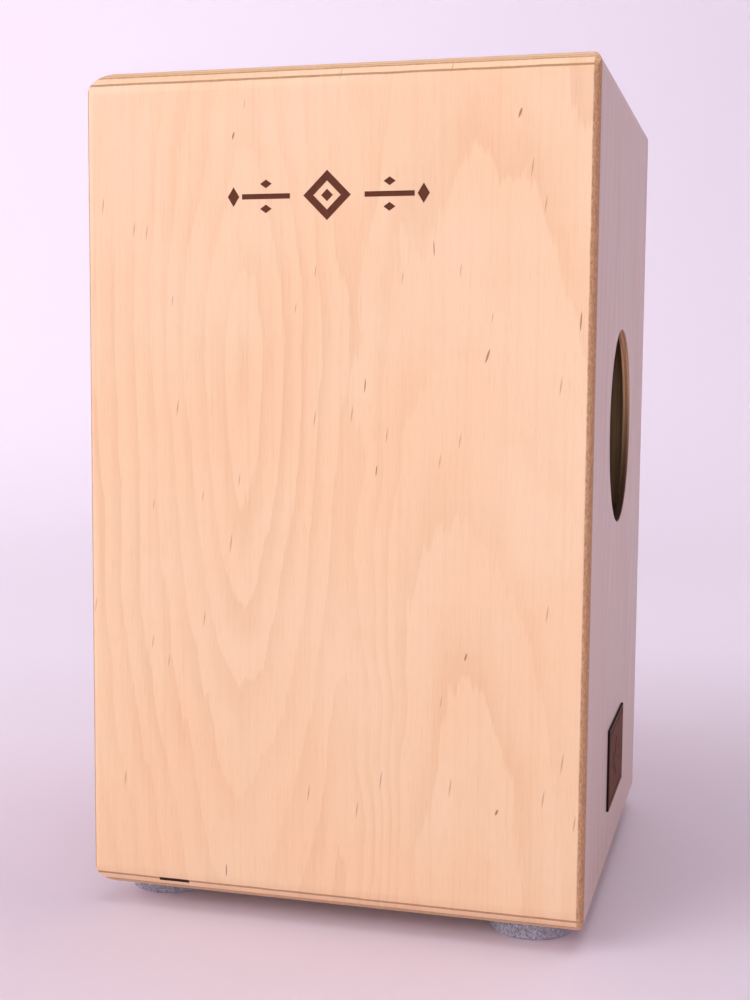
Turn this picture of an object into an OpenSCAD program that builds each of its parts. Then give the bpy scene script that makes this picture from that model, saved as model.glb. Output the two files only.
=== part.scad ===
// Box drum: six plywood panels glued over four corner battens, with a sound
// hole in one side and a turning snare bar behind the playing panel.
// Millimetres. +Z is up, the playing panel faces -Y, the sound hole faces +X.
// The origin is on the floor, under the middle of the box.

/* [Box] */
// Outer width of the box, side to side
body_w = 300; // [260:1:360]
// Outer depth of the box, playing panel to back
body_d = 300; // [260:1:360]
// Height of the box without its feet
body_h = 489; // [440:1:560]
// Thickness of the plywood front, back and side panels
ply_t = 4.5; // [3:0.1:9]
// Thickness of the seat and bottom boards
board_t = 15; // [12:0.5:20]

/* [Rounding] */
// Radius rolled over the top and bottom edges of the playing side
front_roll_r = 14; // [6:0.5:14]
// Radius of the two upright edges of the playing side and of the back
upright_r = 4.4; // [2:0.1:4.4]
// Radius of the top and bottom edges at the back
back_roll_r = 8; // [4:0.5:12]
// Radius of the two left corners as seen from the front
corner_left_r = 18; // [3:0.5:20]
// Radius of the two right corners as seen from the front
corner_right_r = 8; // [3:0.5:20]

/* [Sound hole] */
// Diameter of the sound hole
hole_d = 121; // [90:1:140]
// Distance of the hole's centre behind the playing face
hole_depth = 143; // [120:1:180]
// Height of the hole's centre above the box's underside
hole_height = 282; // [200:1:320]
// Width of the chamfer around the hole's outer edge
hole_ease = 0.6; // [0.2:0.1:1.5]

/* [Battens] */
// Width and depth of the square corner battens
batten_w = 15; // [12:0.5:22]

/* [Snare bar] */
// Diameter of the wooden snare bar
bar_d = 16; // [12:0.5:20]
// Height of the bar's axis above the box's underside
bar_height = 319; // [260:1:360]
// Depth of the flat planed on the bar's front
bar_flat = 0.9; // [0.5:0.1:1.5]
// Running clearance between the bar and its clips, on the radius
bar_clearance = 0.05; // [0.02:0.01:0.1]
// Gap between each end of the bar and its clip's foot plate
bar_end_gap = 0.5; // [0.3:0.1:2]
// Wall of the clip ring around the bar
clip_wall = 2.2; // [1.8:0.1:2.2]
// Length of the clip ring along the bar
clip_len = 12; // [8:0.5:18]
// Thickness of the clip's foot plate
clip_plate_t = 3; // [2:0.1:5]
// Half of the angle left open at the back of the clip ring
clip_open = 55; // [40:1:65]

/* [Snares] */
// Number of wire strands in each set
strand_n = 10; // [6:1:12]
// Outer diameter of a wire coil
strand_d = 2.2; // [1.6:0.1:2.6]
// Distance from one strand to the next
strand_pitch = 4.2; // [3.5:0.1:4.4]
// Height of the strands' free ends above the bar's axis
strand_reach = 115; // [80:1:130]
// Gap between the strands and the playing panel when they lie against it
strand_gap = 0.4; // [0.3:0.1:1]
// Distance of each strand set's middle from the middle of the box
strand_set_x = 62; // [45:1:70]
// Thickness of the metal plate that holds a strand set
plate_t = 1; // [0.8:0.1:1.2]
// Height of the plate
plate_h = 12; // [10:0.5:12]
// How far the plate reaches past the outer strands, for its screws
plate_ear = 8; // [7:0.5:12]

/* [Feet] */
// Diameter of a felt foot
foot_d = 49; // [36:1:56]
// Height of a felt foot
foot_h = 11; // [6:0.5:16]
// Distance of a foot's centre from the side of the box
foot_inset_x = 31; // [30:1:45]
// Distance of a foot's centre from the front or back of the box
foot_inset_y = 45.5; // [32:1:60]
// How far inwards the hand-placed front right foot sits off that place
foot_stray_x = 4; // [0:1:10]
// How far forwards the front right foot, and backwards the left one, sits off
foot_stray_y = 5; // [0:1:10]

/* [Side plaque] */
// Length of the plaque, front to back
plaque_l = 82; // [50:1:110]
// Height of the plaque
plaque_h = 52; // [30:1:70]
// Thickness of the plaque
plaque_t = 1.5; // [1:0.1:3]
// Distance of the plaque's near end behind the playing face
plaque_depth = 111; // [60:1:150]
// Height of the plaque's lower edge above the box's underside
plaque_height = 39.5; // [30:0.5:80]

/* [Engraved ornament] */
// Overall width of the ornament burnt into the playing panel
mark_w = 121; // [80:1:160]
// Height of the ornament's middle lozenge
mark_h = 28; // [16:1:36]
// Depth of the engraving
mark_cut = 0.3; // [0.2:0.05:0.6]
// Height of the ornament's middle above the box's underside
mark_height = 414.5; // [380:0.5:440]
// Sideways offset of the ornament's middle
mark_x = -2; // [-20:1:20]
// Width of the ornament's thin lines
mark_line = 3; // [1:0.1:3.5]

/* [Core void] */
// Length of the open gap in the front panel's core, at the bottom edge
void_w = 19; // [8:1:30]
// Distance of the gap's middle from the middle of the box
void_x = 97; // [60:1:110]
// Height of the gap between the plies
void_gap = 0.9; // [0.5:0.1:1.2]
// Thickness of the panel's face ply, in front of the gap
face_ply_t = 0.9; // [0.6:0.1:1.2]

/* [Screws] */
// Shank diameter of the clip screws
clip_screw_d = 3.5; // [3:0.1:4]
// Length of the clip screws' shanks
clip_screw_l = 14; // [10:0.5:16]
// Shank diameter of the snare plate screws
plate_screw_d = 2.5; // [2:0.1:3]
// Length of the snare plate screws' shanks
plate_screw_l = 9; // [6:0.5:10]
// Clearance around a screw's shank in the hole it passes through
screw_clearance = 0.15; // [0.05:0.05:0.3]

/* [Hidden] */
$fn = 96;
eps = 0.01;

front_y = -body_d / 2;
back_y = body_d / 2;
base_z = foot_h;
top_z = foot_h + body_h;
inner_w = body_w - 2 * ply_t;
inner_d = body_d - 2 * ply_t;
batten_z = base_z + board_t;
batten_l = body_h - 2 * board_t;

// The snare set, measured back from the inner face of the playing panel.
panel_back_y = front_y + ply_t;
strand_y = panel_back_y + strand_gap + strand_d / 2;
plate_y = strand_y + strand_d / 2;
flat_y = plate_y + plate_t;
bar_r = bar_d / 2;
bar_y = flat_y + bar_r - bar_flat;
bar_z = base_z + bar_height;
clip_plate_x = inner_w / 2 - batten_w - clip_plate_t;
bar_l = 2 * (clip_plate_x - bar_end_gap);
clip_plate_h = 52;
clip_plate_y = panel_back_y + 1;
clip_plate_d = 22;
clip_screw_y = panel_back_y + batten_w / 2;
clip_screw_dz = 18;
plate_w = (strand_n - 1) * strand_pitch + strand_d + 2 * plate_ear;
plate_screw_dx = plate_w / 2 - plate_ear / 2;

// A rectangle with its middle at [0, 0] and corner radii in the order
// bottom left, bottom right, top right, top left.
module round_rect(w, h, r) {
  difference() {
    square([w, h], center = true);
    for (c = [[-1, -1, r[0]], [1, -1, r[1]], [1, 1, r[2]], [-1, 1, r[3]]])
      if (c[2] > 0)
        translate([c[0] * w / 2, c[1] * h / 2]) corner_waste(c[0], c[1], c[2]);
  }
}

// The waste outside a corner's arc; sx and sy point to the corner's quadrant.
module corner_waste(sx, sy, r) {
  difference() {
    translate([-sx * (r - eps) / 2, -sy * (r - eps) / 2]) square(r + eps, center = true);
    translate([-sx * r, -sy * r]) circle(r);
  }
}

// The outside shape of the closed box, before it is cut into panels.
module outline_block() {
  intersection() {
    translate([0, 0, base_z])
      linear_extrude(body_h)
        round_rect(body_w, body_d, [upright_r, upright_r, upright_r, upright_r]);
    translate([-body_w / 2, 0, base_z + body_h / 2])
      rotate([90, 0, 90])
        linear_extrude(body_w)
          round_rect(body_d, body_h, [front_roll_r, back_roll_r, back_roll_r, front_roll_r]);
    translate([0, back_y, base_z + body_h / 2])
      rotate([90, 0, 0])
        linear_extrude(body_d)
          round_rect(body_w, body_h,
                     [corner_left_r, corner_right_r, corner_right_r, corner_left_r]);
  }
}

// A box from its low corner to its high corner.
module span_box(low, high) {
  translate(low) cube(high - low);
}

// One panel: the part of the outside shape between two corners.
module panel(low, high) {
  intersection() {
    outline_block();
    span_box(low, high);
  }
}

module lozenge(w, h) {
  polygon([[-w / 2, 0], [0, h / 2], [w / 2, 0], [0, -h / 2]]);
}

// Lozenge-and-line ornament, drawn flat around [0, 0].
module ornament() {
  ring_w = mark_h;
  arm = (mark_w - ring_w) / 2;
  bead = mark_h / 4;
  difference() {
    lozenge(ring_w, mark_h);
    lozenge(ring_w - 4 * mark_line, mark_h - 4 * mark_line);
  }
  lozenge(ring_w - 7 * mark_line, mark_h - 7 * mark_line);
  for (s = [-1, 1]) {
    translate([s * (ring_w / 2 + arm * 0.48), 0])
      square([arm * 0.62, mark_line], center = true);
    translate([s * (ring_w / 2 + arm * 0.9), 0]) lozenge(bead, 1.6 * bead);
    translate([s * (ring_w / 2 + arm * 0.48), 0])
      for (t = [-1, 1]) translate([0, t * bead]) lozenge(bead, 0.7 * bead);
  }
}

module playing_panel() {
  color("burlywood")
    difference() {
      panel([-body_w / 2, front_y, base_z], [body_w / 2, panel_back_y, top_z]);
      translate([mark_x, front_y + mark_cut, base_z + mark_height])
        rotate([90, 0, 0]) linear_extrude(mark_cut + 1) ornament();
      translate([-void_x, front_y + face_ply_t + void_gap / 2, base_z])
        cube([void_w, void_gap, 2 * front_roll_r], center = true);
    }
}

module back_panel() {
  color("burlywood")
    panel([-body_w / 2, back_y - ply_t, base_z], [body_w / 2, back_y, top_z]);
}

module side_panel(s) {
  low_x = s < 0 ? -body_w / 2 : inner_w / 2;
  panel([low_x, -inner_d / 2, base_z], [low_x + ply_t, inner_d / 2, top_z]);
}

// Cutter for the sound hole, with a small chamfer at the outer face.
module hole_cutter() {
  r = hole_d / 2;
  rotate([0, 90, 0])
    rotate_extrude()
      polygon([[0, -ply_t - 1], [r, -ply_t - 1], [r, -hole_ease],
               [r + hole_ease, 0], [r + hole_ease, 1], [0, 1]]);
}

module left_panel() {
  color("wheat") side_panel(-1);
}

module right_panel() {
  color("wheat")
    difference() {
      side_panel(1);
      translate([body_w / 2, front_y + hole_depth, base_z + hole_height]) hole_cutter();
    }
}

module seat_board() {
  color("burlywood")
    panel([-inner_w / 2, -inner_d / 2, top_z - board_t], [inner_w / 2, inner_d / 2, top_z]);
}

module bottom_board() {
  color("burlywood")
    panel([-inner_w / 2, -inner_d / 2, base_z], [inner_w / 2, inner_d / 2, base_z + board_t]);
}

// A corner batten; sx and sy point to its corner of the box.
module batten(sx, sy) {
  translate([sx * (inner_w - batten_w) / 2, sy * (inner_d - batten_w) / 2, batten_z + batten_l / 2])
    cube([batten_w, batten_w, batten_l], center = true);
}

// A front batten with the two pilot holes for its clip's screws.
module drilled_batten(s) {
  difference() {
    batten(s, -1);
    for (t = [-1, 1])
      translate([s * clip_plate_x, clip_screw_y, bar_z + t * clip_screw_dz])
        rotate([0, s * 90, 0])
          cylinder(h = clip_plate_t + clip_screw_l, d = clip_screw_d);
  }
}

module batten_front_left() {
  color("tan") drilled_batten(-1);
}

module batten_front_right() {
  color("tan") drilled_batten(1);
}

module batten_back_left() {
  color("tan") batten(-1, 1);
}

module batten_back_right() {
  color("tan") batten(1, 1);
}

// Outline of the clip ring seen along the bar, open towards +Y.
module clip_ring() {
  inner = bar_r + bar_clearance;
  outer = inner + clip_wall;
  reach = 2 * outer;
  difference() {
    circle(outer);
    circle(inner);
    polygon([[0, 0], [reach * cos(clip_open), reach * sin(clip_open)],
             [reach * 2, 0], [reach * cos(clip_open), -reach * sin(clip_open)]]);
  }
}

// A snap clip: foot plate on the batten and an open ring around the bar.
// Built for the right side; s mirrors it to the left.
module bar_clip(s) {
  mirror([s < 0 ? 1 : 0, 0, 0])
    difference() {
      union() {
        translate([clip_plate_x, clip_plate_y, bar_z - clip_plate_h / 2])
          cube([clip_plate_t, clip_plate_d, clip_plate_h]);
        translate([clip_plate_x - clip_len, bar_y, bar_z])
          rotate([90, 0, 90]) linear_extrude(clip_len + eps) clip_ring();
      }
      for (t = [-1, 1])
        translate([clip_plate_x - 1, clip_screw_y, bar_z + t * clip_screw_dz])
          rotate([0, 90, 0])
            cylinder(h = clip_plate_t + 2, d = clip_screw_d + 2 * screw_clearance);
    }
}

module bar_clip_left() {
  color("dimgray") bar_clip(-1);
}

module bar_clip_right() {
  color("dimgray") bar_clip(1);
}

// A round-headed screw along +Z, its head seated on z = 0, with a cross slot.
module screw(shank_d, shank_l) {
  head_r = shank_d;
  head_h = 0.55 * shank_d;
  slot_w = 0.24 * shank_d;
  difference() {
    union() {
      rotate_extrude()
        difference() {
          square([head_r, head_h]);
          translate([head_r, head_h]) corner_waste(1, 1, head_h * 0.8);
        }
      translate([0, 0, -shank_l]) cylinder(h = shank_l, d = shank_d);
    }
    for (a = [0, 90])
      rotate(a) translate([0, 0, head_h]) cube([head_r * 1.1, slot_w, head_h], center = true);
  }
}

module clip_screws() {
  color("silver")
    for (s = [-1, 1])
      for (t = [-1, 1])
        translate([s * clip_plate_x, clip_screw_y, bar_z + t * clip_screw_dz])
          rotate([0, -s * 90, 0]) screw(clip_screw_d, clip_plate_t + clip_screw_l - 0.5);
}

// Places children at the screw positions of both snare plates, +Z forwards.
module at_plate_screws() {
  for (s = [-1, 1])
    for (t = [-1, 1])
      translate([s * strand_set_x + t * plate_screw_dx, plate_y, bar_z])
        rotate([90, 0, 0]) children();
}

module snare_bar() {
  color("navajowhite")
    difference() {
      translate([-bar_l / 2, bar_y, bar_z]) rotate([0, 90, 0]) cylinder(h = bar_l, d = bar_d);
      translate([0, flat_y - bar_r, bar_z])
        cube([2 * (strand_set_x + plate_w / 2) + 4, bar_d, bar_d + 2], center = true);
      at_plate_screws()
        translate([0, 0, -plate_screw_l - 0.5]) cylinder(h = plate_screw_l + 1, d = plate_screw_d);
    }
}

module snare_plate(s) {
  difference() {
    translate([s * strand_set_x, plate_y + plate_t, bar_z])
      rotate([90, 0, 0])
        linear_extrude(plate_t) round_rect(plate_w, plate_h, [1.5, 1.5, 1.5, 1.5]);
    at_plate_screws()
      translate([0, 0, -plate_t - 1])
        cylinder(h = plate_t + 2, d = plate_screw_d + 2 * screw_clearance);
  }
}

module snare_plate_left() {
  color("silver") snare_plate(-1);
}

module snare_plate_right() {
  color("silver") snare_plate(1);
}

// One set of parallel strands, soldered over the upper half of its plate.
module snare_strands(s) {
  start_z = bar_z - plate_h / 4;
  for (i = [0 : strand_n - 1])
    translate([s * strand_set_x + (i - (strand_n - 1) / 2) * strand_pitch, strand_y, start_z])
      cylinder(h = strand_reach + plate_h / 4, d = strand_d, $fn = 24);
}

module snare_strands_left() {
  color("gainsboro") snare_strands(-1);
}

module snare_strands_right() {
  color("gainsboro") snare_strands(1);
}

module plate_screws() {
  color("gold") at_plate_screws() screw(plate_screw_d, plate_screw_l);
}

// A round felt foot; sx and sy point to its corner of the box, and stray moves it.
module foot(sx, sy, stray = [0, 0, 0]) {
  translate([sx * (body_w / 2 - foot_inset_x), sy * (body_d / 2 - foot_inset_y), 0])
    translate(stray) cylinder(h = foot_h, d = foot_d);
}

module foot_front_left() {
  color("gray") foot(-1, -1, [0, foot_stray_y, 0]);
}

module foot_front_right() {
  color("gray") foot(1, -1, [-foot_stray_x, -foot_stray_y, 0]);
}

module foot_back_left() {
  color("gray") foot(-1, 1);
}

module foot_back_right() {
  color("gray") foot(1, 1);
}

module side_plaque() {
  color("saddlebrown")
    translate([body_w / 2, front_y + plaque_depth, base_z + plaque_height])
      cube([plaque_t, plaque_l, plaque_h]);
}

playing_panel();
back_panel();
left_panel();
right_panel();
seat_board();
bottom_board();
batten_front_left();
batten_front_right();
batten_back_left();
batten_back_right();
bar_clip_left();
bar_clip_right();
clip_screws();
snare_bar();
snare_plate_left();
snare_plate_right();
snare_strands_left();
snare_strands_right();
plate_screws();
foot_front_left();
foot_front_right();
foot_back_left();
foot_back_right();
side_plaque();
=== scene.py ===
import math
import random

import bpy
from bpy.props import FloatProperty, FloatVectorProperty, IntProperty, PointerProperty
from bpy.types import Operator, Panel, PropertyGroup
from mathutils import Matrix, Vector


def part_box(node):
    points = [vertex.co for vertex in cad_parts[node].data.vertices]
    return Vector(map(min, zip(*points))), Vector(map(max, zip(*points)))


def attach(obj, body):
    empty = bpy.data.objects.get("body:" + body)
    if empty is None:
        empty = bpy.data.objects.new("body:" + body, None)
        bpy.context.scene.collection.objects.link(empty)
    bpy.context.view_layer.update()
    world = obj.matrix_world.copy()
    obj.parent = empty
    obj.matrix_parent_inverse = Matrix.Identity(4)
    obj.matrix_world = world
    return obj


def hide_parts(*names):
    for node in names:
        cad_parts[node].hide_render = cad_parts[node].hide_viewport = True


bl_info = {
    "name": "Cajon finish",
    "version": (1, 0, 0),
    "blender": (4, 5, 0),
    "location": "3D View > Sidebar > Cajon",
    "description": "Veneer, felt, snare wires and studio for a plywood box drum",
    "category": "Object",
}

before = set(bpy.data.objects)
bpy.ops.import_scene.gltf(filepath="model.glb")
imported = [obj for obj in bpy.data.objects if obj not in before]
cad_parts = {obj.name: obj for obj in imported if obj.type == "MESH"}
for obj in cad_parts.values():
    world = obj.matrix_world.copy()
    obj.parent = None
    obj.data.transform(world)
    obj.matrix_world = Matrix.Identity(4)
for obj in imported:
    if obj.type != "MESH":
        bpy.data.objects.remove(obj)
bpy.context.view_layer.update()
MM = 0.001
PANEL_LOW, PANEL_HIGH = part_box("playing_panel")
SEED = 11
# Middle of the sound hole, y and z, and its radius.
SOUND_HOLE = (-7 * MM, 293 * MM, 60.5 * MM)
# Height of the burnt ornament's middle line, and the half width and half height that hold all of it.
ORNAMENT_Z, ORNAMENT_HALF_WIDTH, ORNAMENT_HALF_HEIGHT = 425.5 * MM, 75 * MM, 22 * MM
# The gap in the front panel's core, painted dark as shade: its middle x, half width, top, and depth range
# behind the face.
GAP_X, GAP_HALF_WIDTH, GAP_TOP, GAP_FRONT, GAP_BACK = -97 * MM, 9.6 * MM, 26 * MM, 0.88 * MM, 1.82 * MM
# Where the front panel's sanded edges begin and end, from its middle line.
SANDED_RIGHT = (145.8 * MM, 146.5 * MM)
SANDED_LEFT = (-149.0 * MM, -148.2 * MM)


def tone(red, green, blue):
    """Turns a paint chart colour, 0 to 255 a channel, into a linear one."""
    def linear(value):
        value = value / 255
        return value / 12.92 if value <= 0.04045 else ((value + 0.055) / 1.055) ** 2.4
    return (linear(red), linear(green), linear(blue))


# ---------------------------------------------------------------- settings


class CajonWoodSettings(PropertyGroup):
    """Colours and scale of the wood parts."""
    veneer: FloatVectorProperty(
        name="Veneer", description="Pale wood between the figure lines", subtype="COLOR",
        size=3, min=0, max=1, default=tone(236, 200, 162))
    figure: FloatVectorProperty(
        name="Figure", description="Slightly darker wood of the figure lines", subtype="COLOR",
        size=3, min=0, max=1, default=tone(223, 179, 137))
    fleck: FloatVectorProperty(
        name="Flecks", description="Short dark pith flecks", subtype="COLOR",
        size=3, min=0, max=1, default=tone(140, 92, 62))
    glue_line: FloatVectorProperty(
        name="Glue line", description="Dark line between two plies", subtype="COLOR",
        size=3, min=0, max=1, default=tone(152, 104, 68))
    end_grain: FloatVectorProperty(
        name="End grain", description="Ply cut across its grain", subtype="COLOR",
        size=3, min=0, max=1, default=tone(206, 158, 114))
    scorch: FloatVectorProperty(
        name="Scorch", description="Floor of the burnt engraving", subtype="COLOR",
        size=3, min=0, max=1, default=tone(108, 52, 22))
    lacquer_roughness: FloatProperty(
        name="Lacquer roughness", description="Roughness of the satin lacquer",
        min=0, max=1, default=0.36, subtype="FACTOR")
    pine: FloatVectorProperty(
        name="Batten pine", description="Colour of the corner battens", subtype="COLOR",
        size=3, min=0, max=1, default=tone(226, 190, 140))
    beech: FloatVectorProperty(
        name="Bar beech", description="Colour of the snare bar", subtype="COLOR",
        size=3, min=0, max=1, default=tone(222, 180, 140))


class CajonSnareSettings(PropertyGroup):
    """Sizes of the snare wires and colours of the metal."""
    wire: FloatProperty(
        name="Wire", description="Diameter of the wire a strand is wound from",
        min=0.2 * MM, max=0.9 * MM, default=0.5 * MM, subtype="DISTANCE", unit="LENGTH")
    pitch: FloatProperty(
        name="Pitch", description="Rise of one turn of a strand",
        min=0.6 * MM, max=4 * MM, default=1.35 * MM, subtype="DISTANCE", unit="LENGTH")
    strands: IntProperty(name="Strands", description="Strands in one set", min=4, max=12, default=10)
    steel: FloatVectorProperty(
        name="Steel", description="Colour of the wires and plates", subtype="COLOR",
        size=3, min=0, max=1, default=(0.62, 0.62, 0.63))
    zinc: FloatVectorProperty(
        name="Zinc", description="Colour of the plated screws", subtype="COLOR",
        size=3, min=0, max=1, default=(0.66, 0.62, 0.52))
    plastic: FloatVectorProperty(
        name="Clip plastic", description="Colour of the bar clips", subtype="COLOR",
        size=3, min=0, max=1, default=(0.018, 0.018, 0.02))


class CajonTrimSettings(PropertyGroup):
    """Felt feet and side plaque."""
    felt_light: FloatVectorProperty(
        name="Felt light", description="Pale fibres of the felt", subtype="COLOR",
        size=3, min=0, max=1, default=tone(206, 201, 212))
    felt_dark: FloatVectorProperty(
        name="Felt dark", description="Dark fibres of the felt", subtype="COLOR",
        size=3, min=0, max=1, default=tone(78, 76, 90))
    fibres: IntProperty(
        name="Loose fibres", description="Loose fibres on one foot", min=0, max=2000, default=520)
    leather: FloatVectorProperty(
        name="Plaque", description="Colour of the plaque's face", subtype="COLOR",
        size=3, min=0, max=1, default=tone(118, 72, 52))
    char: FloatVectorProperty(
        name="Charred edge", description="Colour of the plaque's cut edge", subtype="COLOR",
        size=3, min=0, max=1, default=tone(26, 12, 10))


class CajonStageSettings(PropertyGroup):
    """Floor, light and camera."""
    paper: FloatVectorProperty(
        name="Floor", description="Colour of the studio floor far from the object", subtype="COLOR",
        size=3, min=0, max=1, default=(0.94, 0.85, 0.95))
    # Painted shadow: the floor round the object is painted darker, as the object's shadow.
    paper_near_shade: FloatVectorProperty(
        name="Floor, near", description="Colour of the studio floor round the object", subtype="COLOR",
        size=3, min=0, max=1, default=(0.80, 0.70, 0.79))
    # Painted light: the far wall glows by its own emission; no lamp stands behind it.
    glow: FloatProperty(
        name="Wall glow", description="Light that comes through the paper of the far wall",
        min=0, max=2, default=0.22)
    sky: FloatVectorProperty(
        name="Surround", description="Colour of the light from all round", subtype="COLOR",
        size=3, min=0, max=1, default=(0.96, 0.90, 1.0))
    sky_strength: FloatProperty(
        name="Surround strength", description="Strength of the light from all round",
        min=0, max=5, default=0.05)
    key_power: FloatProperty(
        name="Key light", description="Power of the large soft light", min=0, max=2000,
        default=56, unit="POWER")
    lens: FloatProperty(
        name="Lens", description="Focal length of the camera", min=20, max=200,
        default=52.75, unit="CAMERA")


# ------------------------------------------------------------ node helpers


class Shader:
    """A material whose node tree is written one socket at a time."""

    def __init__(self, name):
        self.material = bpy.data.materials.new(name)
        self.material.use_nodes = True
        self.tree = self.material.node_tree
        self.tree.nodes.clear()
        self.output = self.node("ShaderNodeOutputMaterial")
        self.surface = self.node("ShaderNodeBsdfPrincipled")
        self.tree.links.new(self.surface.outputs["BSDF"], self.output.inputs["Surface"])
        self.place = self.node("ShaderNodeTexCoord").outputs["Object"]
        self.x, self.y, self.z = self.split(self.place)

    def node(self, kind, **settings):
        made = self.tree.nodes.new(kind)
        for key, value in settings.items():
            setattr(made, key, value)
        return made

    def feed(self, value, socket):
        """Links a socket, or writes a plain value, into an input."""
        if isinstance(value, bpy.types.NodeSocket):
            self.tree.links.new(value, socket)
        elif hasattr(value, "__len__") and len(value) == 3 and len(socket.default_value) == 4:
            socket.default_value = (*value, 1)
        else:
            socket.default_value = value

    def set(self, **values):
        """Sets inputs of the surface; an underscore stands for a space."""
        for key, value in values.items():
            self.feed(value, self.surface.inputs[key.replace("_", " ")])

    def math(self, operation, *values, clamp=False):
        made = self.node("ShaderNodeMath", operation=operation, use_clamp=clamp)
        for value, socket in zip(values, made.inputs):
            self.feed(value, socket)
        return made.outputs["Value"]

    def split(self, vector):
        made = self.node("ShaderNodeSeparateXYZ")
        self.feed(vector, made.inputs["Vector"])
        return made.outputs["X"], made.outputs["Y"], made.outputs["Z"]

    def join(self, x, y, z=0.0):
        made = self.node("ShaderNodeCombineXYZ")
        for value, socket in zip((x, y, z), made.inputs):
            self.feed(value, socket)
        return made.outputs["Vector"]

    def stretched(self, x, y, z):
        """The place on the piece with each of its axes scaled."""
        return self.join(self.scaled(self.x, x), self.scaled(self.y, y), self.scaled(self.z, z))

    def noise(self, vector, scale=1.0, detail=2.0, roughness=0.5, distortion=0.0, out="Fac"):
        made = self.node("ShaderNodeTexNoise")
        self.feed(vector, made.inputs["Vector"])
        for key, value in (("Scale", scale), ("Detail", detail), ("Roughness", roughness),
                           ("Distortion", distortion)):
            self.feed(value, made.inputs[key])
        return made.outputs[out]

    def cells(self, vector, dimensions="3D"):
        """Distance to the nearest of a scatter of points, and that point's random colour."""
        made = self.node("ShaderNodeTexVoronoi", voronoi_dimensions=dimensions)
        self.feed(vector, made.inputs["Vector"])
        made.inputs["Scale"].default_value = 1.0
        return made.outputs["Distance"], made.outputs["Color"]

    def step(self, value, low, high, start=0.0, end=1.0):
        """Goes smoothly from start to end as value goes from low to high."""
        made = self.node("ShaderNodeMapRange", interpolation_type="SMOOTHSTEP")
        for key, number in (("Value", value), ("From Min", low), ("From Max", high),
                            ("To Min", start), ("To Max", end)):
            self.feed(number, made.inputs[key])
        return made.outputs["Result"]

    def band(self, value, rise, fall):
        """1 between two soft borders, each given as where it begins and ends."""
        return self.math("MULTIPLY", self.step(value, *rise), self.step(value, *fall, 1.0, 0.0))

    def near(self, value, middle, reach):
        """1 where value is less than reach from the middle, and 0 elsewhere."""
        return self.math("LESS_THAN", self.math("ABSOLUTE", self.math("SUBTRACT", value, middle)), reach)

    def mix(self, factor, first, second, blend="MIX"):
        made = self.node("ShaderNodeMix", data_type="RGBA", blend_type=blend)
        self.feed(factor, made.inputs["Factor"])
        self.feed(first, made.inputs[6])
        self.feed(second, made.inputs[7])
        return made.outputs[2]

    def scaled(self, value, by):
        return self.math("MULTIPLY", value, by)

    def bump(self, height, distance, strength=1.0):
        made = self.node("ShaderNodeBump")
        self.feed(height, made.inputs["Height"])
        made.inputs["Distance"].default_value = distance
        made.inputs["Strength"].default_value = strength
        self.tree.links.new(made.outputs["Normal"], self.surface.inputs["Normal"])

    def facing(self, axis):
        """How squarely the surface faces along an axis, 0 to 1, either way round."""
        normal = self.node("ShaderNodeNewGeometry").outputs["Normal"]
        return self.math("ABSOLUTE", self.split(normal)["XYZ".index(axis)])


def dress(material, *names):
    """Gives CAD nodes a material."""
    for name in names:
        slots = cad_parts[name].data.materials
        slots.clear()
        slots.append(material)


# ------------------------------------------------------------ wood finishes


# Growth-ring figures of a veneer: middle x and z, half width and half length of a ring, all in mm.
FRONT_HEARTS = ((-52, 330, 17, 96), (83, 40, 39, 146))
PLAIN_HEARTS = ((-45, 120, 26, 190), (60, 420, 30, 170))


def growth_rings(shader, across, along, heart):
    """Nested pointed ovals round a heart: 0 in its middle, 1 on its first ring."""
    s = shader
    centre_x, centre_z, half_width, half_length = heart
    u = s.math("ABSOLUTE", s.scaled(s.math("SUBTRACT", across, centre_x * MM), 1 / (half_width * MM)))
    v = s.math("ABSOLUTE", s.scaled(s.math("SUBTRACT", along, centre_z * MM), 1 / (half_length * MM)))
    total = s.math("ADD", s.math("POWER", u, 1.6), s.math("POWER", v, 1.6))
    return s.math("POWER", total, 1 / 1.6)


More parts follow.
